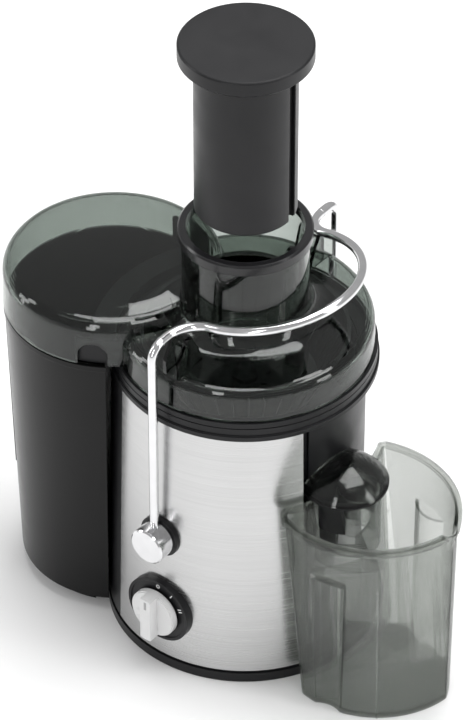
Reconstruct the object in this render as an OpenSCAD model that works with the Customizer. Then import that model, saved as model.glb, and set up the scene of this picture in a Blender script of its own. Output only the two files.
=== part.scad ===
// Centrifugal juicer, millimetres, Z up, origin on the motor axis at the floor.
// Front (speed knob, arm pivot) faces -Y, spout and jug face +X, pulp container -X.

/* [Body] */
// radius of the steel body at its foot
body_r_foot = 89.2; // [80:0.1:100]
// radius of the steel body at its top
body_r_top = 84.6; // [76:0.1:95]
// top of the base ring, where the steel starts
base_top = 8.7; // [6:0.1:14]
// top of the steel body
body_top = 200.9; // [190:0.1:242]
// how far the base ring stands out past the foot of the steel
ring_out = 0.8; // [0.5:0.1:3]
// gap between the base ring and the surface it stands on
foot_stand = 0; // [0:0.5:4]
// thickness of the housing wall
wall = 3; // [2:0.1:4]
// thickness of the steel wrap
steel_t = 0.8; // [0.4:0.1:1.2]
// azimuth where the steel wrap starts, from the front
steel_from = -27.7; // [-60:0.1:-10]
// azimuth where the steel wrap ends
steel_to = 63; // [50:0.5:66]
// azimuth where the recess behind the jug ends
recess_to = 157; // [130:1:165]
// outer radius of the apron panel in the recess
apron_r = 76.7; // [75:0.1:80]
// thickness of the apron panel
apron_t = 2.2; // [1.5:0.1:3]

/* [Bowl and lid] */
// height of the trim ring
trim_h = 4.1; // [3:0.1:6]
// height of the bowl's rim over the trim ring, where the lid sits
bowl_rise = 9.3; // [7:0.1:12]
// step in from the top of the body to the bowl's rim
rim_step = 0.8; // [0.5:0.1:2]
// step in from the bowl's rim to the lid's skirt
lid_step = 1.4; // [0.5:0.1:2.4]
// height of the flat of the lid over the bowl's rim
lid_h = 23.2; // [18:0.1:30]
// thickness of the lid
lid_t = 2.5; // [1.8:0.1:3.5]
// outer radius of the feed tube
tube_r = 40; // [36:0.1:46]
// wall of the feed tube
tube_t = 2.9; // [2:0.1:4]
// height of the feed tube over the lid
tube_h = 67.5; // [50:0.5:90]
// how far the feed tube reaches below the bowl's rim
tube_dip = 15.3; // [5:0.1:18.5]
// how far the band round the tube's mouth stands out
mouth_out = 2.3; // [1:0.1:4]
// height of that band
mouth_h = 7; // [4:0.5:12]

/* [Pulp container] */
// distance of the container's near edge from the motor axis
pulp_near = 23.7; // [20:0.1:35]
// turn of the container towards the front
pulp_turn = 11; // [0:1:20]
// container radius at its rim
pulp_r = 70; // [58:0.5:84]
// how much smaller that radius is at its foot
pulp_taper = 5.5; // [0:0.5:10]
// gap between the container's rim and the cover over it
pulp_gap = 1.3; // [0.5:0.1:6]

/* [Jug and spout] */
// turn of the spout and jug towards the front
spout_turn = 6; // [0:1:12]
// gap between the jug's rim and the spout
jug_gap = 3; // [2:0.1:8]
// half width of the jug at its rim
jug_half = 52.2; // [45:0.1:56]
// how far the jug's nose reaches from the motor axis
jug_reach = 166.2; // [160:0.1:200]
// thickness of the jug wall
jug_t = 2.2; // [1.5:0.1:3]
// depth of the spout flange below the floor of the bowl
spout_down = 0.7; // [0:0.1:1.2]
// radius of the spout hood
hood_r = 28.5; // [27:0.5:32]
// height of the hood over its flange
hood_h = 15; // [13:0.5:20]

/* [Pusher, arm and knob] */
// rise of the pusher at rest: underside of its cap over the mouth of the tube
pusher_lift = 127.5; // [120:0.5:150]
// gap between the pusher's stem and the bore of the feed tube
stem_gap = 5.1; // [3:0.1:8]
// length of the pusher stem
stem_h = 111.9; // [90:0.1:112]
// step in from the band of the tube's mouth to the pusher's cap
cap_step = 0.6; // [0:0.1:3]
// thickness of the pusher cap
cap_h = 11.5; // [8:0.5:16]
// thickness of the arm's rod
rod_d = 6; // [5:0.1:7.2]
// height of the arm's pivots
pivot_z = 108.5; // [90:0.5:130]
// distance of the arm's legs from the foot of the steel
arm_out = 3.8; // [3.5:0.1:8]
// height of the arm's loop over the lid
arm_rise = 28.5; // [26:0.5:40]
// radius of the pivot knobs
pivot_r = 12.5; // [9:0.5:14]
// height of the speed knob's centre
knob_z = 47; // [38:1:60]
// radius of the speed knob
knob_r = 17; // [14:0.1:20.5]
// width of the dial plate round the speed knob
dial_out = 7; // [6:0.1:10]

/* [Hidden] */
$fn = 96;
e = 0.01;
far = 400;
black = [0.06, 0.06, 0.06];
smoke = [0.3, 0.36, 0.33, 0.55];
steel = [0.75, 0.75, 0.76];
bright = [0.9, 0.9, 0.92];
copper = [0.72, 0.42, 0.2];
rubber = [0.12, 0.12, 0.12];
white = [0.92, 0.92, 0.9];

body_h = body_top - base_top;
body_slope = (body_r_top - body_r_foot) / body_h;
function body_r(z) = body_r_foot + body_slope * (z - base_top);

base_ring_r = body_r_foot + ring_out;
trim_top = body_top + trim_h;
bowl_top = trim_top + bowl_rise;
rim_r = body_r_top - rim_step;
lid_r = rim_r - lid_step;
lid_top = bowl_top + lid_h;
tube_top = lid_top + tube_h;
tube_foot = bowl_top - tube_dip;
mouth_r = tube_r + mouth_out;
stem_r = tube_r - tube_t - stem_gap;
cap_r = mouth_r - cap_step;
arm_y = body_r_foot + arm_out;
arm_z = lid_top + arm_rise;
dial_r = knob_r + dial_out;

// motor chamber deck and bowl
deck_down = 57.9;
deck_z = body_top - deck_down;
deck_t = 3;
apron_in = apron_r - apron_t;
well_r = apron_in - 2.3;
bowl_r = well_r - 0.5;
bowl_t = 2.4;
bowl_in = bowl_r - bowl_t;
bowl_z = deck_z + deck_t + 0.5;
bowl_floor = bowl_z + 2.5;
seam_z = deck_z + deck_t + 3;
hub_in = 20;
hub_t = 2.5;
hub_top = deck_z + 27;

// rotor heights
shaft_r = 4;
shaft_from = 20;
fan_z = 22;
fan_h = 10;
low_bearing_z = 38;
bearing_h = 7;
bearing_r = 11;
comm_z = 48;
comm_h = 12;
core_z = 64;
core_h = 34;
core_r = 21;
top_bearing_z = deck_z - 29;
coupling_z = deck_z + 9;
coupling_h = 20;
coupling_r = 12;
disc_z = deck_z + 33;
disc_r = 46;
basket_top = bowl_top + 7.7;
basket_gap = 4.3;
basket_r = bowl_in - basket_gap;
shaft_to = coupling_z + coupling_h - 4;

// pulp container and the lid's cover over it
pulp_out = pulp_near + pulp_r;
pulp_r_foot = pulp_r - pulp_taper;
pulp_top = bowl_top - pulp_gap;
cover_r = pulp_r + 1.2;
cover_top = lid_top + 9.5;
cover_round = 9;
cover_rise = 4;
bell_r = 15;
arch_turn = 17;
arch_r = 9.5;
arch_up = 7;
chute_h = 19;
chute_t = 2;
chute_gap = 0.8;

// catches under the arm
catch_top = arm_z - rod_d / 2 - 1;
catch_x = [-3, 7];
catch_w = 2.6;

// arm loop over the lid
bend_r = 9;
turn_r = 19;
loop_r = 59;
arm_tilt = 13;

// pivots
pivot_face = arm_y - rod_d / 2 - 0.8;
pivot_out = arm_y + 9;
bush_r = 6;
pin_r = 3;
pin_fit = 0.05;
bush_in = 70;

// speed knob
dial_face = body_r_foot + 2;
knob_back = dial_face + 0.4;
knob_front = dial_face + 5.8;
grip_front = knob_front + 7;

// spout
spout_z = bowl_floor - spout_down;
hood_x = 86.5;
hood_sphere = (hood_r * hood_r + hood_h * hood_h) / (2 * hood_h);
pocket_r = 25.5;
pocket_r_low = 21;
pocket_low = spout_z - 28.3;
tube_x = 99.5;
outlet_r = 14.5;
outlet_low = spout_z - 42.3;
mouth_half = 17;
mouth_up = 5;
neck_to = apron_r + 2;

// jug
jug_h = spout_z - jug_gap;
jug_slim = 5;
near_c = 16;
far_c = 12;
far_out = 6;
back_r_foot = 101;
back_r_rim = 89.5;
corner_foot = [99.3, -40];
corner_rim = [86.7, -43];
corner_shift = 2.3;
corner_r_foot = 7;
corner_r_rim = 8.6;
scoop_at = [120, -58];
scoop_r = 16;
scoop_h = jug_h - 35.3;
notch_half = 26;
notch_low = outlet_low - 4;
rim_out = 2.3;
rim_h = 3.8;
lip_at = [jug_reach - 3.9, 12.5];
lip_r = 8;
lip_h = 20;

// housing, motor, controls and container details
plate_z = 3;
plate_t = 3;
plate_r = base_ring_r - 6.3;
foot_ring = 64;
screw_ring = 66;
flange_r = 14.5;
flange_back = 84;
spindle_r = 3;
spindle_hole = 4.2;
gland_r = 8;
gland_z = 24;
bracket_r = 40;
post_ring = 34;
coil_x = 25;
comm_r = 10;
stud_z = disc_z - 3.4;
stud_r = 4;
sieve_t = 0.9;
sieve_z = disc_z + 7;
key_az = 100;
key_w = 6;
key_in = stem_r - 2.4;
mark_r = knob_r + 2.4;
cam_r = 6;
cap_z = tube_top + pusher_lift;
stem_z = cap_z - stem_h;
groove_w = key_w + 1.6;
groove_in = key_in - 1.2;
pulp_z = 10;
pulp_t = 2.2;
body_gap = 1.6;
grip_low = 60;
grip_high = pulp_top - 17;
grip_half = 17;

// azimuth a runs from the front towards +X
module wedge(a1, a2, z1, z2) {
    n = ceil((a2 - a1) / 20);
    translate([0, 0, z1]) linear_extrude(z2 - z1)
        polygon(concat([[0, 0]], [for (i = [0:n])
            far * [sin(a1 + (a2 - a1) * i / n), -cos(a1 + (a2 - a1) * i / n)]]));
}

module ring(r1, r2, z1, z2) {
    translate([0, 0, z1]) difference() {
        cylinder(h = z2 - z1, r = r2);
        translate([0, 0, -1]) cylinder(h = z2 - z1 + 2, r = r1);
    }
}

// cylinder from y1 to y2 along Y, at x = 0 and height z
module along_y(r, y1, y2, z) {
    translate([0, y1, z]) rotate([-90, 0, 0]) cylinder(h = y2 - y1, r = r);
}

module body_cone(inset) {
    translate([0, 0, base_top])
        cylinder(h = body_h, r1 = body_r_foot - inset, r2 = body_r_top - inset);
}

module both_sides() {
    children();
    mirror([0, 1, 0]) children();
}

module at_spout() {
    rotate([0, 0, -spout_turn]) children();
}

module at_pulp() {
    rotate([0, 0, pulp_turn]) translate([-pulp_out, 0, 0]) children();
}

module outlet_window(grow) {
    at_spout() translate([60, -mouth_half - grow, spout_z - grow])
        cube([30, 2 * (mouth_half + grow), mouth_up + 2 * grow]);
}

// ---------------------------------------------------------------- base unit

module base_ring() {
    color(black) difference() {
        ring(base_ring_r - 6, base_ring_r, foot_stand, base_top);
        translate([0, 0, -1]) ring(base_ring_r - 1.6, base_ring_r + 2, base_top - 0.7, base_top + 2);
    }
}

module bottom_plate() {
    color(black) difference() {
        union() {
            translate([0, 0, plate_z]) cylinder(h = plate_t, r = plate_r);
            for (a = [0:90:270]) rotate([0, 0, a]) translate([screw_ring, 0, plate_z])
                cylinder(h = 20, r = 4);
        }
        for (a = [0:30:330]) rotate([0, 0, a]) translate([22, -2, 0]) cube([26, 4, 10]);
        for (a = [45:90:315]) rotate([0, 0, a]) translate([foot_ring, 0, 0]) cylinder(h = 10, r = 3.6);
        for (a = [0:90:270]) rotate([0, 0, a]) {
            translate([screw_ring, 0, 0]) cylinder(h = 40, r = 1.6);
            translate([screw_ring, 0, 0]) cylinder(h = plate_z + 1, r = 3.4);
        }
    }
}

module rubber_feet() {
    color(rubber) for (a = [45:90:315]) rotate([0, 0, a]) translate([foot_ring, 0, 0]) {
        cylinder(h = plate_z, r1 = 9, r2 = 10);
        cylinder(h = plate_z + plate_t, r = 3.5);
        translate([0, 0, plate_z + plate_t]) cylinder(h = 1.6, r1 = 5, r2 = 4);
    }
}

module bottom_screws() {
    color(steel) for (a = [0:90:270]) rotate([0, 0, a]) translate([screw_ring, 0, plate_z - 0.4])
        difference() {
            union() {
                cylinder(h = 1.3, r = 3.2);
                cylinder(h = 18, r = 1.5);
            }
            for (t = [0, 90]) rotate([0, 0, t]) translate([-2, -0.4, -1]) cube([4, 0.8, 1.6]);
        }
}

// whole shell, which is moulded in two parts that meet just over the deck
module shell() {
    difference() {
        union() {
            difference() {
                body_cone(0);
                difference() {
                    body_cone(wall);
                    difference() {
                        wedge(steel_to - 1.8, recess_to + 1.8, 0, far);
                        cylinder(h = far, r = well_r);
                    }
                }
            }
            // deck between the motor chamber and the bowl
            intersection() {
                union() {
                    translate([0, 0, deck_z]) cylinder(h = deck_t, r = body_r(deck_z) - wall + 0.5);
                    ring(9, 13, deck_z - 12, deck_z + deck_t + 2);
                    ring(well_r, body_r_top, body_top - 3, body_top);
                }
                body_cone(0.9);
            }
            // bosses for the arm's bushes
            both_sides() along_y(10, -body_r(pivot_z) + wall / 2, -bush_in, pivot_z);
        }
        // recess behind the jug
        intersection() {
            difference() {
                translate([0, 0, -e]) body_cone(-5);
                cylinder(h = far, r = apron_in);
            }
            wedge(steel_to, recess_to, base_top + 2, far);
        }
        // skin depth left for the steel wrap
        intersection() {
            difference() {
                body_cone(-5);
                body_cone(steel_t);
            }
            wedge(steel_from, steel_to, 0, far);
        }
        translate([0, 0, deck_z - 20]) cylinder(h = 30, r = 9);
        both_sides() {
            along_y(bush_r, -95, -60, pivot_z);
            along_y(flange_r, -95, -flange_back, pivot_z);
        }
        along_y(spindle_hole, -95, -60, knob_z);
        along_y(gland_r, 60, 95, gland_z);
        outlet_window(1);
        intersection() {
            wedge(steel_to, recess_to, 0, far);
            ring(apron_in, 95, body_top - 3.1, body_top + 1);
        }
    }
}

module housing() {
    color(black) intersection() {
        shell();
        cylinder(h = seam_z, r = far);
    }
}

module upper_housing() {
    color(black) intersection() {
        shell();
        translate([0, 0, seam_z]) cylinder(h = far, r = far);
    }
}

module steel_wrap() {
    color(steel) difference() {
        intersection() {
            difference() {
                body_cone(0);
                translate([0, 0, -e]) body_cone(steel_t);
                translate([0, 0, e]) body_cone(steel_t);
            }
            wedge(steel_from, steel_to, 0, far);
        }
        along_y(flange_r, -95, -60, pivot_z);
        along_y(spindle_hole, -95, -60, knob_z);
    }
}

module apron_panel() {
    color(black) difference() {
        intersection() {
            ring(apron_in, apron_r, base_top + 2, body_top);
            wedge(steel_to + 6, recess_to - 3, 0, far);
        }
        outlet_window(1);
    }
}

module trim_ring() {
    color(black) difference() {
        ring(bowl_r + 0.3, rim_r + 1.1, body_top, trim_top);
        ring(rim_r + 0.5, rim_r + 3, trim_top - 0.8, trim_top + 1);
    }
}

// ---------------------------------------------------------------- motor

module motor_top_bracket() {
    color(steel) difference() {
        union() {
            ring(bearing_r, bearing_r + 3, top_bearing_z - 1, top_bearing_z + bearing_h + 1);
            ring(6, bearing_r + 3, top_bearing_z + bearing_h, top_bearing_z + bearing_h + 2);
            for (a = [0, 90]) rotate([0, 0, a]) difference() {
                translate([-bracket_r, -8, top_bearing_z - 6]) cube([2 * bracket_r, 16, 5]);
                translate([0, 0, top_bearing_z - 8]) cylinder(h = 9, r = bearing_r + 1);
            }
        }
        for (a = [0:90:270]) rotate([0, 0, a]) translate([post_ring, 0, top_bearing_z - 24])
            cylinder(h = 40, r = 2.1);
    }
}

module motor_low_bracket() {
    color(steel) difference() {
        union() {
            ring(bearing_r, bearing_r + 3, low_bearing_z - 1, low_bearing_z + bearing_h + 1);
            ring(6, bearing_r + 3, low_bearing_z - 2.5, low_bearing_z - 0.5);
            for (a = [0, 90]) rotate([0, 0, a]) difference() {
                translate([-bracket_r, -8, low_bearing_z]) cube([2 * bracket_r, 16, 5]);
                translate([0, 0, low_bearing_z - 1]) cylinder(h = 9, r = bearing_r + 1);
            }
        }
        for (a = [0:90:270]) rotate([0, 0, a]) translate([post_ring, 0, 20]) cylinder(h = 40, r = 2.1);
    }
}

module motor_bolts() {
    color(steel) for (a = [0:90:270]) rotate([0, 0, a]) translate([post_ring, 0, 0]) {
        translate([0, 0, low_bearing_z - 3]) cylinder(h = 3, r = 3.6);
        translate([0, 0, low_bearing_z - 1]) cylinder(h = top_bearing_z - low_bearing_z + 24, r = 2);
    }
}

module motor_dampers() {
    color(rubber) for (a = [0:90:270]) rotate([0, 0, a]) translate([post_ring, 0, 0])
        difference() {
            translate([0, 0, top_bearing_z - 1]) cylinder(h = deck_z - top_bearing_z + 1, r = 6);
            translate([0, 0, top_bearing_z - 2]) cylinder(h = 40, r = 2.1);
        }
}

module stator() {
    color(steel) difference() {
        translate([-30, -30, core_z]) cube([60, 60, core_h]);
        translate([0, 0, core_z - 1]) cylinder(h = core_h + 2, r = core_r + 0.7);
        for (s = [-1, 1]) translate([s * coil_x - 4, -18, core_z - 1]) cube([8, 36, core_h + 2]);
        for (a = [45:90:315]) rotate([0, 0, a]) translate([44, 0, core_z - 1])
            cylinder(h = core_h + 2, r = 5);
    }
}

module stator_coils() {
    color(copper) for (s = [-1, 1]) translate([s * coil_x - 3.2, -16, core_z - 6])
        difference() {
            cube([6.4, 32, core_h + 12]);
            translate([-1, 8, 8]) cube([10, 16, core_h - 4]);
        }
}

module stator_posts() {
    color(black) for (a = [0:90:270]) rotate([0, 0, a]) translate([post_ring, 0, 0]) {
        ring(2.1, 3.6, low_bearing_z + 5, top_bearing_z - 6.1);
    }
}

module carbon_brushes() {
    color([0.2, 0.2, 0.22]) both_sides()
        translate([-3, -22, comm_z + 2]) cube([6, 22 - comm_r - 0.3, 7]);
}

module brush_holders() {
    color(copper) both_sides() difference() {
        translate([-5, -30, comm_z]) cube([10, 16, 11]);
        translate([-3, -24, comm_z + 2]) cube([6, 20, 7]);
    }
}

module low_bearing() {
    color(steel) difference() {
        ring(shaft_r + 0.05, bearing_r, low_bearing_z, low_bearing_z + bearing_h);
        ring(6.2, 8.8, low_bearing_z - 1, low_bearing_z + 0.8);
        ring(6.2, 8.8, low_bearing_z + bearing_h - 0.8, low_bearing_z + bearing_h + 1);
    }
}

module top_bearing() {
    color(steel) difference() {
        ring(shaft_r + 0.05, bearing_r, top_bearing_z, top_bearing_z + bearing_h);
        ring(6.2, 8.8, top_bearing_z - 1, top_bearing_z + 0.8);
        ring(6.2, 8.8, top_bearing_z + bearing_h - 0.8, top_bearing_z + bearing_h + 1);
    }
}

module shaft_seal() {
    color(rubber) difference() {
        ring(shaft_r + 0.35, 9, deck_z - 6, deck_z + deck_t + 1);
        ring(5.6, 7.6, deck_z - 3, deck_z + deck_t + 2);
    }
}

// ---------------------------------------------------------------- rotor

module motor_shaft() {
    color(steel) translate([0, 0, shaft_from]) cylinder(h = shaft_to - shaft_from, r = shaft_r);
}

module cooling_fan() {
    color(black) {
        ring(shaft_r, 8, fan_z, fan_z + fan_h);
        difference() {
            ring(7, 40, fan_z + fan_h - 2, fan_z + fan_h);
            ring(1, 7, 0, far);
        }
        for (a = [0:30:330]) rotate([0, 0, a]) translate([7.5, -0.8, fan_z])
            cube([31, 1.6, fan_h]);
    }
}

module commutator() {
    color(copper) difference() {
        ring(shaft_r, comm_r, comm_z, comm_z + comm_h);
        for (a = [0:30:330]) rotate([0, 0, a]) translate([8.6, -0.3, comm_z - 1])
            cube([3, 0.6, comm_h + 2]);
    }
}

module armature() {
    color(steel) difference() {
        ring(shaft_r, core_r, core_z, core_z + core_h);
        for (a = [0:30:330]) rotate([0, 0, a]) {
            translate([15, 0, core_z - 1]) cylinder(h = core_h + 2, r = 2.6, $fn = 24);
            translate([15, -0.8, core_z - 1]) cube([8, 1.6, core_h + 2]);
        }
    }
}

module armature_windings() {
    color(copper) {
        for (z = [core_z - 3.4, core_z + core_h]) ring(8, 17.6, z, z + 3.4);
        for (a = [0:30:330]) rotate([0, 0, a]) translate([15, 0, core_z])
            cylinder(h = core_h, r = 2.5, $fn = 24);
    }
}

module drive_coupling() {
    color(black) difference() {
        union() {
            translate([0, 0, coupling_z]) cylinder(h = coupling_h, r = coupling_r - 2);
            for (a = [0:60:300]) rotate([0, 0, a])
                translate([coupling_r - 4, -2, coupling_z + 4]) cube([4, 4, coupling_h - 4]);
            translate([0, 0, coupling_z]) cylinder(h = 4, r = coupling_r);
        }
        translate([0, 0, coupling_z - 1]) cylinder(h = shaft_to - coupling_z + 1, r = shaft_r);
    }
}

// plastic floor of the basket, over the coupling
module basket_hub() {
    color(white) difference() {
        union() {
            translate([0, 0, disc_z]) cylinder(h = 7, r1 = disc_r - 6, r2 = disc_r + 1);
            translate([0, 0, coupling_z + 6]) cylinder(h = disc_z - coupling_z - 6, r = coupling_r + 3);
            ring(hub_in + hub_t + 3, hub_in + hub_t + 5.5, disc_z - 16, disc_z + 1);
        }
        translate([0, 0, coupling_z + 5]) cylinder(h = coupling_h - 5 + 0.2, r = coupling_r + 0.1);
        ring(hub_in - 1, hub_in + hub_t + 3, coupling_z - 2, disc_z + 1);
        translate([0, 0, disc_z + 6]) cylinder(h = 2, r = disc_r - 1);
        translate([0, 0, stud_z]) cylinder(h = 20, r = stud_r);
    }
}

module grater_disc() {
    color(bright) {
        difference() {
            translate([0, 0, disc_z + 6]) cylinder(h = 1, r = disc_r - 1);
            cylinder(h = far, r = 4.5);
        }
        for (k = [0:3]) for (i = [0:7]) rotate([0, 0, i * 45 + k * 13])
            translate([15 + k * 7.5, 0, disc_z + 7]) rotate([0, 0, 25])
                translate([-1.8, -0.4, -0.1]) cube([3.6, 0.8, 1.7]);
    }
}

module basket_nut() {
    color(bright) {
        translate([0, 0, disc_z + 7]) cylinder(h = 3, r = 8.5, $fn = 96);
        translate([0, 0, disc_z + 10]) cylinder(h = 2.2, r1 = 7, r2 = 4);
        translate([0, 0, stud_z]) cylinder(h = 10.5, r = stud_r);
    }
}

module strainer_basket() {
    color(steel) difference() {
        union() {
            translate([0, 0, sieve_z])
                cylinder(h = basket_top - sieve_z, r1 = disc_r + 1, r2 = basket_r);
            translate([0, 0, basket_top - 2]) cylinder(h = 2, r = basket_r + 1.6);
        }
        translate([0, 0, sieve_z - e])
            cylinder(h = basket_top - sieve_z + 2 * e, r1 = disc_r + 1 - sieve_t, r2 = basket_r - sieve_t);
        for (i = [0:35]) rotate([0, 0, i * 10]) translate([disc_r, -0.7, sieve_z + 4])
            cube([20, 1.4, 28]);
    }
}

// ---------------------------------------------------------------- bowl

module juice_bowl() {
    color(black) difference() {
        union() {
            translate([0, 0, bowl_z]) cylinder(h = bowl_top - bowl_z, r = bowl_r);
            difference() {
                translate([0, 0, trim_top]) cylinder(h = bowl_top - trim_top, r = rim_r);
                ring(rim_r - 0.6, rim_r + 2, bowl_top - 4.4, bowl_top - 3.7);
            }
            chute();
        }
        difference() {
            translate([0, 0, bowl_floor]) cylinder(h = far, r = bowl_in);
            cylinder(h = hub_top, r = hub_in + hub_t);
        }
        translate([0, 0, bowl_z - 1]) cylinder(h = hub_top, r = hub_in);
        translate([0, 0, trim_top + 3]) ring(bowl_in - 1, rim_r - 2.6, 0, far);
        outlet_window(-0.5);
    }
}

// ledge that carries the pulp over the gap into the container
module chute() {
    chute_r = cover_r - lid_t - chute_gap;
    difference() {
        intersection() {
            at_pulp() translate([0, 0, bowl_top]) cylinder(h = 2, r = cover_r - 4.4);
            translate([0, 0, bowl_top - 2]) cylinder(h = 6, r = base_ring_r + 7);
        }
        translate([0, 0, bowl_top - 3]) cylinder(h = 9, r = rim_r - 2.6);
    }
    // its side walls, close inside the cover
    difference() {
        intersection() {
            at_pulp() ring(chute_r - chute_t, chute_r, bowl_top, bowl_top + chute_h);
            translate([0, 0, bowl_top]) cylinder(h = chute_h, r = base_ring_r + 18);
        }
        translate([0, 0, bowl_top - 1]) cylinder(h = chute_h + 2, r = rim_r - 2.6);
    }
}

module bowl_seal() {
    color(rubber) ring(bowl_in + 1.8, bowl_in + 8, trim_top + 3, trim_top + 5);
}

// ---------------------------------------------------------------- lid

// d = 0 is the outer skin, d = lid_t the inner one; both run past the skirt's foot
module lid_shape(d) {
    bell_x = tube_r + bell_r;
    bell_z = lid_top + 1 + bell_r;
    foot = bowl_top - 5 - d;
    rotate_extrude() difference() {
        polygon(concat([[0, foot], [lid_r - d, foot], [lid_r - 0.8 - d, lid_top - 7]],
            [for (a = [15:15:75]) [lid_r - 7.8 + (7 - d) * cos(a), lid_top - 7 + (7 - d) * sin(a)]],
            [[lid_r - 7.8, lid_top - d], [bell_x, lid_top + 1 - d], [bell_x, bell_z], [0, bell_z]]));
        translate([bell_x, bell_z]) circle(r = bell_r + d);
    }
}

module cover_shape(d) {
    edge = cover_r - 0.6 - cover_round;
    foot = bowl_top - 6 - d;
    at_pulp() rotate_extrude()
        polygon(concat([[0, foot], [cover_r - d, foot], [cover_r - 0.6 - d, cover_top - cover_round]],
            [for (a = [12:12:84]) [edge + (cover_round - d) * cos(a),
                cover_top - cover_round + (cover_round - d) * sin(a)]],
            [for (k = [6:-1:1]) [edge * k / 6, cover_top - d + cover_rise * (1 - pow(k / 6, 2))]],
            [[0, cover_top - d + cover_rise * 35 / 36]]));
}

module lid() {
    color(smoke) difference() {
        union() {
            difference() {
                union() {
                    lid_shape(0);
                    cover_shape(0);
                }
                lid_shape(lid_t);
                cover_shape(lid_t);
                // the skirt stands on the bowl's rim
                translate([-far / 2, -far / 2, bowl_top - 20]) cube([far, far, 20]);
                // thumb arch in the cover's skirt
                at_pulp() rotate([0, 0, arch_turn]) translate([0, -cover_r - 10, bowl_top]) {
                    translate([0, 0, arch_up]) rotate([-90, 0, 0]) cylinder(h = 20, r = arch_r);
                    translate([-arch_r, 0, -1]) cube([2 * arch_r, 20, arch_up + 1]);
                }
            }
            translate([0, 0, tube_foot]) cylinder(h = tube_top - mouth_h - tube_foot, r = tube_r);
            both_sides() catches();
        }
        difference() {
            translate([0, 0, tube_foot - 1]) cylinder(h = far, r = tube_r - tube_t);
            tube_key();
        }
    }
}

module tube_key() {
    rotate([0, 0, key_az - 90]) translate([key_in, -key_w / 2, tube_foot + 6])
        cube([tube_r - key_in - 1, key_w, tube_top - tube_foot - mouth_h - 6]);
}

module catches() {
    for (x = catch_x) translate([x + catch_w, 0, 0]) rotate([0, -90, 0]) linear_extrude(catch_w)
        polygon([[lid_top - 1, -79], [lid_top + 9, -79], [catch_top, -71], [catch_top, -66],
            [lid_top + 14, -60], [lid_top, -55], [lid_top - 1, -55]]);
    translate([catch_x[0] + e, -70, lid_top - 1]) cube([catch_x[1] - catch_x[0], 2.4, 18]);
}

module tube_mouth() {
    color(black) difference() {
        union() {
            ring(tube_r - tube_t, mouth_r, tube_top - mouth_h, tube_top - 1.2);
            translate([0, 0, tube_top - 1.2]) difference() {
                cylinder(h = 1.2, r1 = mouth_r, r2 = mouth_r - 1.2);
                translate([0, 0, -1]) cylinder(h = 4, r = tube_r - tube_t);
            }
        }
    }
}

// ---------------------------------------------------------------- spout

module outside_apron(gap) {
    difference() {
        children();
        cylinder(h = far, r = apron_r + gap);
    }
}

module spout_trough() {
    color(black) difference() {
        union() {
            at_spout() outside_apron(0.1) {
                translate([hood_x, 0, spout_z - 1.5]) cylinder(h = 1.5, r = hood_r);
                difference() {
                    translate([hood_x, 0, pocket_low])
                        cylinder(h = spout_z - pocket_low, r1 = pocket_r_low, r2 = pocket_r);
                    translate([tube_x + 2, -far / 2, 0]) cube([far, far, spout_z - 1.5]);
                }
            }
            // neck through the panel and the bowl wall
            at_spout() difference() {
                translate([bowl_in + 0.6, -mouth_half - 0.9, spout_z - 0.9])
                    cube([neck_to - bowl_in - 0.6, 2 * mouth_half + 1.8, mouth_up + 1.8]);
                translate([60, -mouth_half + 1.2, spout_z + 1.1])
                    cube([40, 2 * mouth_half - 2.4, mouth_up - 2.2]);
                translate([0, 0, 100]) difference() {
                    cylinder(h = far, r = bowl_r + 0.1);
                    translate([0, 0, -1]) cylinder(h = far, r = 5);
                }
            }
        }
        at_spout() {
            translate([hood_x, 0, pocket_low + 2]) cylinder(h = spout_z - pocket_low,
                r1 = pocket_r_low - 1.8, r2 = pocket_r - 1.8);
            translate([tube_x, 0, 0]) cylinder(h = spout_z + 1, r = outlet_r);
        }
    }
}

// a ball's cap as profile points, r across its foot and h high, with a small flat on top
function dome(r, h, ball) = concat([[0, h - ball + ball * cos(asin(r / ball) / 10)]],
    [for (k = [1:10]) let(a = asin(r / ball) * k / 10) [ball * sin(a), h - ball + ball * cos(a)]]);

module hood_solid(d) {
    translate([hood_x, 0, spout_z]) rotate_extrude()
        polygon(concat([[0, -5 * sign(d)]], dome(hood_r - d, hood_h - d, hood_sphere - d),
            [[hood_r - d, -5 * sign(d)]]));
}

module spout_hood() {
    color(smoke) at_spout() difference() {
        hood_solid(0);
        hood_solid(2);
        cylinder(h = far, r = apron_r + 0.4);
        translate([60, -mouth_half - 1, spout_z - 1])
            cube([neck_to + 0.2 - 60, 2 * mouth_half + 2, mouth_up + 2]);
    }
}

module spout_tube() {
    color(smoke) at_spout() difference() {
        translate([tube_x, 0, 0]) ring(outlet_r - 1.8, outlet_r, outlet_low, spout_z);
        translate([tube_x - 30, -9, pocket_low + 4]) cube([30, 18, far]);
    }
}

// ---------------------------------------------------------------- controls

module dial_plate() {
    color(black) difference() {
        along_y(dial_r, -dial_face, -70, knob_z);
        body_cone(0);
        along_y(dial_r - 2, -dial_face - 1, -dial_face + 0.8, knob_z);
        along_y(spindle_hole, -100, -60, knob_z);
    }
}

module mark_at(a) {
    translate([0, -dial_face + 0.8, knob_z]) rotate([0, a, 0]) translate([0, 0, mark_r])
        rotate([90, 0, 0]) children();
}

module dial_marks() {
    color(white) {
        mark_at(0) difference() {
            cylinder(h = 0.3, r = 1.4);
            translate([0, 0, -1]) cylinder(h = 3, r = 0.9);
        }
        mark_at(33) translate([-0.35, -1.4, 0]) cube([0.7, 2.8, 0.3]);
        mark_at(66) for (x = [-1.3, 0.6]) translate([x, -1.4, 0]) cube([0.7, 2.8, 0.3]);
    }
}

module rotary_switch() {
    color(white) difference() {
        union() {
            translate([-13, -78, knob_z - 13]) cube([26, 16, 26]);
            along_y(spindle_hole, -82.5, -77, knob_z);
        }
        along_y(spindle_r + 0.35, -90, -70, knob_z);
    }
}

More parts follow.
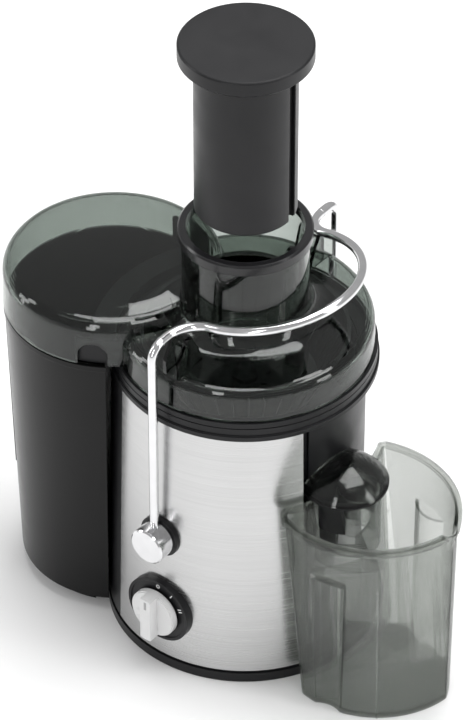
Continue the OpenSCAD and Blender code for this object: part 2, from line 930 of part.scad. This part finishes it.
module speed_knob() {
    color(white) difference() {
        union() {
            along_y(knob_r - 0.8, -knob_front, -knob_back, knob_z);
            along_y(knob_r, -knob_front + 0.8, -knob_back - 0.8, knob_z);
            intersection() {
                translate([-4.2, -grip_front, knob_z - knob_r]) cube([8.4, 10, 2 * knob_r]);
                along_y(knob_r, -grip_front - 1, -90, knob_z);
            }
        }
        along_y(spindle_r, -95, -80, knob_z);
    }
}

module knob_pointer() {
    color(black) translate([-0.8, -grip_front - 0.3, knob_z + knob_r - 8]) cube([1.6, 0.3, 6]);
}

module knob_spindle() {
    color(steel) along_y(spindle_r, -95, -72, knob_z);
}

module interlock_switch() {
    color(white) difference() {
        translate([-16, -68.4, pivot_z - 22]) cube([32, 10, 12]);
        along_y(cam_r + 1, -80, -50, pivot_z);
    }
}

module cord_gland() {
    color(rubber) difference() {
        union() {
            along_y(gland_r - 1.5, 80, 92, gland_z);
            along_y(gland_r, 84.6, 87, gland_z);
            along_y(gland_r + 1.5, body_r_foot + 0.1, body_r_foot + 2.3, gland_z);
        }
        along_y(3.3, 70, 120, gland_z);
    }
}

// ---------------------------------------------------------------- arm

module pivot_bushes() {
    color(black) both_sides() difference() {
        union() {
            along_y(flange_r - 0.05, -pivot_face + 0.4, -flange_back, pivot_z);
            along_y(bush_r - 0.01, -flange_back - 1, -bush_in, pivot_z);
        }
        along_y(pin_r + pin_fit, -100, -60, pivot_z);
    }
}

module arm_rod() {
    r = rod_d / 2;
    leg_z = pivot_z + pivot_r - 2;
    color(bright) {
        both_sides() {
            translate([0, -arm_y, leg_z]) cylinder(h = arm_z - bend_r - leg_z, r = r);
            translate([0, -arm_y + bend_r, arm_z - bend_r]) rotate([90, 0, -90])
                rotate_extrude(angle = 90) translate([bend_r, 0]) circle(r = r);
            along_y(r + 0.1, -arm_y + bend_r - 0.5, -loop_r - turn_r + 0.5, arm_z);
            translate([0, 0, arm_z]) rotate([0, -arm_tilt, 0])
                translate([turn_r, -loop_r - turn_r, 0]) rotate([0, 0, 90])
                    rotate_extrude(angle = 90) translate([turn_r, 0]) circle(r = r);
        }
        translate([0, 0, arm_z]) rotate([0, -arm_tilt, 0]) translate([turn_r, 0, 0])
            rotate([0, 0, -90]) rotate_extrude(angle = 180) translate([loop_r, 0]) circle(r = r);
    }
}

module pivot_knobs() {
    color(bright) both_sides() difference() {
        union() {
            along_y(pivot_r, -pivot_out + 1, -pivot_face, pivot_z);
            translate([0, -pivot_out + 1, pivot_z]) rotate([90, 0, 0])
                cylinder(h = 1, r1 = pivot_r, r2 = pivot_r - 1);
        }
        along_y(pin_r, -pivot_out + 4, -60, pivot_z);
        translate([0, -arm_y, pivot_z + pivot_r - 2]) cylinder(h = 20, r = rod_d / 2);
    }
}

module pivot_pins() {
    color(steel) both_sides() along_y(pin_r, -pivot_out + 4, -62, pivot_z);
}

module pin_clips() {
    color(steel) both_sides() difference() {
        along_y(5.4, -69.4, -68.6, pivot_z);
        along_y(pin_r, -90, -60, pivot_z);
    }
}

module lock_cam() {
    color(white) difference() {
        union() {
            along_y(cam_r, -67.8, -63, pivot_z);
            translate([-2.5, -67.8, pivot_z]) cube([5, 4.8, 9]);
        }
        along_y(pin_r, -90, -50, pivot_z);
    }
}

// ---------------------------------------------------------------- pusher

module pusher_stem() {
    color(black) difference() {
        union() {
            translate([0, 0, stem_z + 1.2]) cylinder(h = stem_h - 1.2, r = stem_r);
            translate([0, 0, stem_z]) cylinder(h = 1.2, r1 = stem_r - 1.2, r2 = stem_r);
        }
        difference() {
            translate([0, 0, stem_z + 3]) cylinder(h = far, r = stem_r - 2.5);
            rotate([0, 0, key_az - 90]) translate([groove_in - 2.5, -groove_w / 2 - 2.5, 0])
                cube([30, groove_w + 5, 2 * far]);
        }
        rotate([0, 0, key_az - 90]) translate([groove_in, -groove_w / 2, stem_z - 1])
            cube([30, groove_w, stem_h + 1]);
    }
}

module pusher_cap() {
    color(black) {
        translate([0, 0, cap_z]) cylinder(h = 2, r1 = cap_r - 2, r2 = cap_r);
        translate([0, 0, cap_z + 2]) cylinder(h = cap_h - 3, r = cap_r);
        translate([0, 0, cap_z + cap_h - 1]) cylinder(h = 1, r1 = cap_r, r2 = cap_r - 1);
    }
}

// ---------------------------------------------------------------- pulp container

module pulp_shape(d, z1, z2) {
    difference() {
        at_pulp() translate([0, 0, z1]) cylinder(h = z2 - z1,
            r1 = pulp_r_foot - d + (pulp_r - pulp_r_foot) * (z1 - pulp_z) / (pulp_top - pulp_z),
            r2 = pulp_r_foot - d + (pulp_r - pulp_r_foot) * (z2 - pulp_z) / (pulp_top - pulp_z));
        cylinder(h = far, r = base_ring_r + body_gap + d);
    }
}

module pulp_container() {
    color(black) {
        difference() {
            union() {
                pulp_shape(0, pulp_z, pulp_top);
                // recessed foot
                difference() {
                    at_pulp() cylinder(h = pulp_z + 1, r = pulp_r_foot - 9);
                    cylinder(h = far, r = base_ring_r + body_gap + 7);
                }
                difference() {
                    at_pulp() translate([0, 0, pulp_top - 4]) cylinder(h = 4, r = pulp_r + 0.9);
                    cylinder(h = far, r = base_ring_r + body_gap);
                }
            }
            pulp_shape(pulp_t, pulp_z + 2.5, pulp_top + 5);
            difference() {
                at_pulp() translate([0, 0, -1]) cylinder(h = pulp_z + 1, r = pulp_r_foot - 11.2);
                cylinder(h = far, r = base_ring_r + body_gap + 9.2);
            }
        }
    }
}

module pulp_handle() {
    color(black) at_pulp() difference() {
        intersection() {
            translate([-pulp_r - 10, -grip_half, grip_low]) cube([30, 2 * grip_half, grip_high - grip_low]);
            translate([0, 0, pulp_z]) cylinder(h = pulp_top - pulp_z, r1 = pulp_r_foot + 4, r2 = pulp_r + 4);
        }
        translate([0, 0, pulp_z]) cylinder(h = pulp_top - pulp_z, r1 = pulp_r_foot, r2 = pulp_r);
        for (k = [0:5]) translate([-pulp_r - 8.6 + k * 0.25, -grip_half + 5, grip_high - 46 - k * 8])
            rotate([-90, 0, 0]) cylinder(h = 2 * grip_half - 10, r = 5.4);
    }
}

// ---------------------------------------------------------------- jug

// one side of the jug: a cone that leans so that its nose stays upright; d is how far inside the skin
module jug_side(c, out, d) {
    r = jug_half - jug_slim + abs(c);
    over = 8;
    lean = jug_slim * over / jug_h;
    translate([jug_reach + out - r, c, 0]) rotate([0, -atan(jug_slim / jug_h), 0])
        translate([0, 0, -over])
            cylinder(h = jug_h + 2 * over, r1 = r - lean - d, r2 = r + jug_slim + lean - d);
}

// what is cut away to round a corner beside the machine
module jug_corner(d) {
    over = 10;
    reach = 40;
    run = corner_rim - corner_foot;
    translate([corner_foot[0], corner_foot[1], 0])
        rotate([-atan(run[1] / jug_h), atan(run[0] / jug_h), 0]) difference() {
            translate([-reach, -reach, -over]) cube([reach, reach, jug_h + 2 * over]);
            translate([0, 0, -over]) cylinder(h = jug_h + 2 * over,
                r1 = corner_r_foot - d, r2 = corner_r_rim - d);
        }
}

module jug_solid(d, z1, z2) {
    difference() {
        intersection() {
            jug_side(near_c, 0, d);
            jug_side(-far_c, far_out, d);
            translate([0, -far / 2, z1]) cube([far, far, z2 - z1]);
        }
        translate([0, 0, -1]) cylinder(h = jug_h + 2, r1 = back_r_foot + d, r2 = back_r_rim + d);
        jug_corner(d);
        mirror([0, 1, 0]) translate([0, corner_shift, 0]) jug_corner(d);
    }
}

module jug_scoops(d) {
    both_sides() translate([scoop_at[0], scoop_at[1], -1]) cylinder(h = scoop_h + d + 1, r = scoop_r + d);
}

module juice_jug() {
    rib_x = scoop_at[0] + 26;
    color([0.72, 0.76, 0.74, 0.5]) at_spout() difference() {
        union() {
            difference() {
                union() {
                    jug_solid(0, 0, jug_h);
                    // fine rib beside each finger scoop
                    intersection() {
                        jug_solid(-0.5, 0, scoop_h + 3);
                        both_sides() translate([rib_x, -jug_half - 10, -1]) cube([0.9, 40, far]);
                    }
                }
                jug_scoops(0);
            }
            jug_solid(-rim_out, jug_h - rim_h, jug_h);
            translate([lip_at[0], lip_at[1], jug_h - lip_h])
                cylinder(h = lip_h, r1 = lip_r - 5, r2 = lip_r);
        }
        difference() {
            jug_solid(jug_t, 3, jug_h + 5);
            jug_scoops(jug_t);
        }
        translate([lip_at[0], lip_at[1], jug_h - lip_h + 2])
            cylinder(h = lip_h, r1 = lip_r - 5 - jug_t / 2, r2 = lip_r - jug_t / 2);
        // the back wall is cut down where the spout passes
        translate([0, -notch_half, notch_low]) cube([back_r_foot, 2 * notch_half, far]);
    }
}

base_ring();
bottom_plate();
rubber_feet();
bottom_screws();
housing();
upper_housing();
steel_wrap();
apron_panel();
trim_ring();
motor_top_bracket();
motor_low_bracket();
motor_bolts();
motor_dampers();
stator();
stator_coils();
stator_posts();
carbon_brushes();
brush_holders();
low_bearing();
top_bearing();
shaft_seal();
motor_shaft();
cooling_fan();
commutator();
armature();
armature_windings();
drive_coupling();
basket_hub();
grater_disc();
basket_nut();
strainer_basket();
juice_bowl();
bowl_seal();
lid();
tube_mouth();
spout_trough();
spout_hood();
spout_tube();
dial_plate();
dial_marks();
rotary_switch();
speed_knob();
knob_pointer();
knob_spindle();
interlock_switch();
cord_gland();
pivot_bushes();
arm_rod();
pivot_knobs();
pivot_pins();
pin_clips();
lock_cam();
pusher_stem();
pusher_cap();
pulp_container();
pulp_handle();
juice_jug();
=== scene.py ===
import math

import bmesh
import bpy
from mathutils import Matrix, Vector

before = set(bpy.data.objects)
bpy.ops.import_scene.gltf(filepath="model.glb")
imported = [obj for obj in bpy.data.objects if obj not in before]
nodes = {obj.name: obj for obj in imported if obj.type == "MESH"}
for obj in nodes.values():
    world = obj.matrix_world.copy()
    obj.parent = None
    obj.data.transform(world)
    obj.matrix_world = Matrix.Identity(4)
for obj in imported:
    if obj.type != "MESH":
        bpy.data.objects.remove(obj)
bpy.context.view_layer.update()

MM = 0.001

# ------------------------------------------------------------------ shader node helpers


def new_material(name):
    mat = bpy.data.materials.new(name)
    mat.use_nodes = True
    tree = mat.node_tree
    shader = tree.nodes["Principled BSDF"]
    return mat, tree, shader


def coordinates(tree, stretch=(1, 1, 1)):
    """Object coordinates, stretched; a node's object sits at the origin, so these are metres."""
    source = tree.nodes.new("ShaderNodeTexCoord")
    mapping = tree.nodes.new("ShaderNodeMapping")
    mapping.inputs["Scale"].default_value = stretch
    tree.links.new(source.outputs["Object"], mapping.inputs["Vector"])
    return mapping.outputs["Vector"]


def noise(tree, where, scale, detail=3.0, roughness=0.5):
    node = tree.nodes.new("ShaderNodeTexNoise")
    node.inputs["Scale"].default_value = scale
    node.inputs["Detail"].default_value = detail
    node.inputs["Roughness"].default_value = roughness
    tree.links.new(where, node.inputs["Vector"])
    return node.outputs["Fac"]


def spread(tree, value, low, high, source=(0.3, 0.7)):
    """Maps a noise value onto low..high."""
    node = tree.nodes.new("ShaderNodeMapRange")
    node.inputs["From Min"].default_value = source[0]
    node.inputs["From Max"].default_value = source[1]
    node.inputs["To Min"].default_value = low
    node.inputs["To Max"].default_value = high
    tree.links.new(value, node.inputs["Value"])
    return node.outputs["Result"]


def mix_colours(tree, factor, first, second):
    node = tree.nodes.new("ShaderNodeMix")
    node.data_type = "RGBA"
    tree.links.new(factor, node.inputs["Factor"])
    node.inputs["A"].default_value = (*first, 1)
    node.inputs["B"].default_value = (*second, 1)
    return node.outputs["Result"]


def bump(tree, shader, height, strength, distance, radius=0.0):
    node = tree.nodes.new("ShaderNodeBump")
    node.inputs["Strength"].default_value = strength
    node.inputs["Distance"].default_value = distance
    tree.links.new(height, node.inputs["Height"])
    if radius:
        edge = tree.nodes.new("ShaderNodeBevel")
        edge.samples = 4
        edge.inputs["Radius"].default_value = radius
        tree.links.new(edge.outputs["Normal"], node.inputs["Normal"])
    tree.links.new(node.outputs["Normal"], shader.inputs["Normal"])


def radial_angle(tree):
    """The tangent that runs round the Z axis."""
    node = tree.nodes.new("ShaderNodeTangent")
    node.direction_type = "RADIAL"
    node.axis = "Z"
    return node.outputs["Tangent"]


# ------------------------------------------------------------------ materials


def moulded(name, dark, light, roughness, grain=0.12, edge=0.4 * MM, coat=0.0, shine=0.3):
    """Moulded plastic: faint colour drift, uneven gloss, a fine grain and softened edges."""
    mat, tree, shader = new_material(name)
    where = coordinates(tree)
    drift = noise(tree, where, 18, 4)
    colour = mix_colours(tree, spread(tree, drift, 0, 1), dark, light)
    tree.links.new(colour, shader.inputs["Base Color"])
    gloss = noise(tree, where, 55, 5, 0.6)
    rough = spread(tree, gloss, roughness * 0.88, roughness * 1.14)
    tree.links.new(rough, shader.inputs["Roughness"])
    bump(tree, shader, noise(tree, where, 2600, 2), grain, 0.05 * MM, edge)
    shader.inputs["Specular IOR Level"].default_value = shine
    shader.inputs["Coat Weight"].default_value = coat
    shader.inputs["Coat Roughness"].default_value = 0.2
    return mat


def brushed(name, dark, light, roughness, stretch, anisotropy, edge=0.3 * MM):
    """Metal brushed along one way: hair lines in colour, gloss and height."""
    mat, tree, shader = new_material(name)
    shader.inputs["Metallic"].default_value = 1
    lines = noise(tree, coordinates(tree, stretch), 1, 5, 0.65)
    cloud = noise(tree, coordinates(tree), 9, 2)
    colour = mix_colours(tree, spread(tree, lines, 0, 1, (0.32, 0.68)), dark, light)
    tree.links.new(colour, shader.inputs["Base Color"])
    add = tree.nodes.new("ShaderNodeMath")
    add.operation = "ADD"
    tree.links.new(spread(tree, lines, -0.05, 0.05), add.inputs[0])
    tree.links.new(spread(tree, cloud, roughness - 0.02, roughness + 0.02), add.inputs[1])
    tree.links.new(add.outputs[0], shader.inputs["Roughness"])
    shader.inputs["Anisotropic"].default_value = anisotropy
    if anisotropy:
        tree.links.new(radial_angle(tree), shader.inputs["Tangent"])
    bump(tree, shader, lines, 0.1, 0.03 * MM, edge)
    return mat


def plated(name, tone, roughness):
    """Chrome plate with a barely uneven polish."""
    mat, tree, shader = new_material(name)
    shader.inputs["Metallic"].default_value = 1
    where = coordinates(tree)
    haze = noise(tree, where, 120, 4, 0.6)
    low = tuple(c * 0.93 for c in tone)
    tree.links.new(mix_colours(tree, spread(tree, haze, 0, 1), low, tone), shader.inputs["Base Color"])
    tree.links.new(spread(tree, haze, roughness * 0.7, roughness * 1.5), shader.inputs["Roughness"])
    bump(tree, shader, noise(tree, where, 60, 2), 0.04, 0.05 * MM, 0.3 * MM)
    return mat


def clear(name, light, deep, density, roughness, alpha=1.0):
    """Clear tinted moulding: colour deepens with thickness; alpha below 1 lets plain light past."""
    mat, tree, shader = new_material(name)
    where = coordinates(tree)
    flow = noise(tree, where, 14, 3)
    low = tuple(c * 0.97 for c in light)
    tree.links.new(mix_colours(tree, spread(tree, flow, 0, 1), low, light), shader.inputs["Base Color"])
    tree.links.new(spread(tree, flow, roughness * 0.6, roughness * 1.6), shader.inputs["Roughness"])
    shader.inputs["Transmission Weight"].default_value = 1
    shader.inputs["IOR"].default_value = 1.49
    shader.inputs["Alpha"].default_value = alpha
    bump(tree, shader, noise(tree, where, 40, 2), 0.05, 0.08 * MM)
    volume = tree.nodes.new("ShaderNodeVolumeAbsorption")
    volume.inputs["Color"].default_value = (*deep, 1)
    volume.inputs["Density"].default_value = density
    out = tree.nodes["Material Output"]
    tree.links.new(volume.outputs["Volume"], out.inputs["Volume"])
    return mat


def rubber(name, tone, roughness):
    mat, tree, shader = new_material(name)
    where = coordinates(tree)
    dust = noise(tree, where, 90, 5, 0.7)
    grey = tuple(c + 0.03 for c in tone)
    tree.links.new(mix_colours(tree, spread(tree, dust, 0, 1, (0.45, 0.8)), tone, grey),
                   shader.inputs["Base Color"])
    tree.links.new(spread(tree, dust, roughness - 0.08, roughness + 0.08), shader.inputs["Roughness"])
    bump(tree, shader, noise(tree, where, 1500, 3), 0.25, 0.06 * MM, 0.4 * MM)
    return mat


def laminated(name, dark, light):
    """Stacked varnished sheets: fine lines up the stack."""
    mat, tree, shader = new_material(name)
    lines = noise(tree, coordinates(tree, (2, 2, 1800)), 1, 2)
    colour = mix_colours(tree, spread(tree, lines, 0, 1), dark, light)
    tree.links.new(colour, shader.inputs["Base Color"])
    shader.inputs["Metallic"].default_value = 0.6
    tree.links.new(spread(tree, lines, 0.38, 0.55), shader.inputs["Roughness"])
    bump(tree, shader, lines, 0.4, 0.1 * MM)
    return mat


def wound(name, dark, light):
    """Enamelled wire: even rows of turns."""
    mat, tree, shader = new_material(name)
    wave = tree.nodes.new("ShaderNodeTexWave")
    wave.bands_direction = "Z"
    wave.inputs["Scale"].default_value = 420
    wave.inputs["Distortion"].default_value = 1.5
    tree.links.new(coordinates(tree), wave.inputs["Vector"])
    colour = mix_colours(tree, wave.outputs["Fac"], dark, light)
    tree.links.new(colour, shader.inputs["Base Color"])
    shader.inputs["Metallic"].default_value = 0.9
    tree.links.new(spread(tree, wave.outputs["Fac"], 0.25, 0.45, (0, 1)), shader.inputs["Roughness"])
    bump(tree, shader, wave.outputs["Fac"], 0.5, 0.2 * MM)
    return mat


SATIN = moulded("satin_black", (0.006, 0.006, 0.007), (0.010, 0.010, 0.011), 0.34, shine=0.25)
GLOSS = moulded("container_black", (0.003, 0.003, 0.003), (0.005, 0.005, 0.005), 0.24, 0.04, 0.8 * MM,
                shine=0.2)
PUSHER = moulded("pusher_black", (0.007, 0.007, 0.008), (0.011, 0.011, 0.012), 0.36, 0.06,
                 1.2 * MM)
SHINY = moulded("mouth_black", (0.008, 0.008, 0.009), (0.013, 0.013, 0.014), 0.2, 0.03, 0.8 * MM, 0.3)
SMOKE = clear("smoke_clear", (0.90, 0.92, 0.91), (0.56, 0.60, 0.57), 520, 0.02)
HOOD = clear("hood_clear", (0.92, 0.93, 0.92), (0.50, 0.53, 0.50), 380, 0.02, 0.75)
JUG = clear("jug_clear", (0.95, 0.96, 0.95), (0.43, 0.46, 0.42), 240, 0.015, 0.55)
WRAP = brushed("brushed_wrap", (0.50, 0.50, 0.50), (0.60, 0.60, 0.60), 0.24, (6, 6, 2600), 0.6, 0)
# Strainer basket, grater disc and nut: steel whose colour is painted near black, a painted shade
# standing in for the dark reflections the basket shows.
SHADE_PAINTED_SHEET = brushed("basket_steel_painted_shade", (0.05, 0.05, 0.052), (0.09, 0.09, 0.092), 0.5, (8, 8, 1200), 0.2)
TURNED = brushed("machine_steel", (0.40, 0.40, 0.41), (0.58, 0.58, 0.58), 0.34, (200, 200, 1400), 0.2)
CHROME = plated("chrome_plate", (0.78, 0.78, 0.79), 0.1)
SILVER = moulded("knob_silver", (0.66, 0.66, 0.66), (0.73, 0.73, 0.73), 0.3, 0.05, 0.7 * MM, 0.3, 0.5)
IVORY = moulded("off_white", (0.60, 0.60, 0.57), (0.68, 0.68, 0.65), 0.42)
HUB = moulded("basket_plastic", (0.03, 0.03, 0.03), (0.045, 0.045, 0.045), 0.42)
INK = moulded("mark_grey", (0.34, 0.34, 0.34), (0.40, 0.40, 0.40), 0.4, 0.02, 0.1 * MM)
PRINT = moulded("mark_white", (0.78, 0.78, 0.78), (0.86, 0.86, 0.86), 0.45, 0.02, 0.1 * MM)
NYLON = moulded("black_nylon", (0.02, 0.02, 0.021), (0.03, 0.03, 0.031), 0.5)
RUBBER = rubber("black_rubber", (0.015, 0.015, 0.016), 0.72)
STACK = laminated("lamination_stack", (0.14, 0.15, 0.17), (0.26, 0.27, 0.29))
COPPER = wound("copper_winding", (0.42, 0.17, 0.07), (0.78, 0.40, 0.20))
CARBON = moulded("brush_carbon", (0.03, 0.03, 0.032), (0.05, 0.05, 0.052), 0.55, 0.3)

LOOKS = [
    (SATIN, ["base_ring", "bottom_plate", "housing", "upper_housing", "apron_panel", "trim_ring",
             "juice_bowl", "spout_trough", "dial_plate", "pivot_bushes", "stator_posts"]),
    (GLOSS, ["pulp_container", "pulp_handle"]),
    (PUSHER, ["pusher_stem", "pusher_cap"]),
    (SHINY, ["tube_mouth"]),
    (SMOKE, ["lid"]),
    (HOOD, ["spout_hood", "spout_tube"]),
    (HUB, ["basket_hub"]),
    (JUG, ["juice_jug"]),
    (WRAP, ["steel_wrap"]),
    (SHADE_PAINTED_SHEET, ["strainer_basket", "grater_disc", "basket_nut"]),
    (TURNED, ["motor_shaft", "motor_top_bracket", "motor_low_bracket", "motor_bolts", "bottom_screws",
              "low_bearing", "top_bearing", "pivot_pins", "pin_clips", "knob_spindle"]),
    (CHROME, ["arm_rod", "pivot_knobs"]),
    (SILVER, ["speed_knob"]),
    (PRINT, ["dial_marks"]),
    (INK, ["knob_pointer"]),
    (IVORY, ["rotary_switch", "interlock_switch", "lock_cam"]),
    (NYLON, ["drive_coupling", "cooling_fan"]),
    (STACK, ["stator", "armature"]),
    (COPPER, ["stator_coils", "armature_windings", "commutator", "brush_holders"]),
    (CARBON, ["carbon_brushes"]),
    (RUBBER, ["rubber_feet", "motor_dampers", "shaft_seal", "bowl_seal", "cord_gland"]),
]

for material, names in LOOKS:
    for name in names:
        for place in nodes[name].material_slots:
            place.material = material

# ------------------------------------------------------------------ stage, light, camera

VIEW_AZIMUTH = math.radians(38)
VIEW_ELEVATION = math.radians(40.14)
VIEW_DISTANCE = 2.8482
VIEW_TARGET = Vector((0, 0, 0.1957))
VIEW_LENS = 225
VIEW_SIDE = -8.1 * MM
FLOOR_SIDE = 6
FLOOR_DROP = 0.5 * MM
WORLD_STRENGTH = 0.45

back = Vector((math.sin(VIEW_AZIMUTH) * math.cos(VIEW_ELEVATION),
               -math.cos(VIEW_AZIMUTH) * math.cos(VIEW_ELEVATION), math.sin(VIEW_ELEVATION)))
right = Vector((math.cos(VIEW_AZIMUTH), math.sin(VIEW_AZIMUTH), 0))


def make_camera():
    data = bpy.data.cameras.new("camera")
    data.lens = VIEW_LENS
    cam = bpy.data.objects.new("camera", data)
    bpy.context.collection.objects.link(cam)
    cam.location = VIEW_TARGET + back * VIEW_DISTANCE + right * VIEW_SIDE
    cam.rotation_mode = "QUATERNION"
    cam.rotation_quaternion = (-back).to_track_quat("-Z", "Y")
    bpy.context.scene.camera = cam


def make_floor():
    mesh = bpy.data.meshes.new("floor")
    work = bmesh.new()
    corners = [work.verts.new((x * FLOOR_SIDE, y * FLOOR_SIDE, -FLOOR_DROP)) for x, y in
               ((-1, -1), (1, -1), (1, 1), (-1, 1))]
    work.faces.new(corners)
    work.to_mesh(mesh)
    work.free()
    obj = bpy.data.objects.new("floor", mesh)
    bpy.context.collection.objects.link(obj)
    mat, tree, shader = new_material("pale_floor")
    cloud = noise(tree, coordinates(tree), 3, 3)
    tree.links.new(mix_colours(tree, spread(tree, cloud, 0, 1), (0.86, 0.86, 0.86), (0.88, 0.88, 0.88)),
                   shader.inputs["Base Color"])
    shader.inputs["Roughness"].default_value = 0.5
    shader.inputs["Specular IOR Level"].default_value = 0.3
    mesh.materials.append(mat)


def area_light(name, place, aim, width, height, power):
    data = bpy.data.lights.new(name, "AREA")
    data.shape = "RECTANGLE"
    data.size = width
    data.size_y = height
    data.energy = power
    obj = bpy.data.objects.new(name, data)
    bpy.context.collection.objects.link(obj)
    obj.location = place
    obj.rotation_mode = "QUATERNION"
    obj.rotation_quaternion = (Vector(aim) - Vector(place)).to_track_quat("-Z", "Y")


def make_light():
    world = bpy.data.worlds.new("studio")
    world.use_nodes = True
    world.node_tree.nodes["Background"].inputs["Color"].default_value = (1, 1, 1, 1)
    world.node_tree.nodes["Background"].inputs["Strength"].default_value = WORLD_STRENGTH
    bpy.context.scene.world = world
    bpy.context.scene.view_settings.view_transform = "Standard"
    middle = (0, 0, 0.18)
    area_light("overhead", (0.1, 0.5, 2.4), middle, 2.4, 1.6, 68)
    area_light("left", (-1.7, -1.0, 1.0), middle, 0.4, 1.5, 9)
    area_light("front", (0.5, -1.9, 1.1), middle, 0.3, 1.5, 9)
    area_light("right", (1.8, 0.5, 0.9), middle, 0.4, 1.4, 9)


make_camera()
make_floor()
make_light()
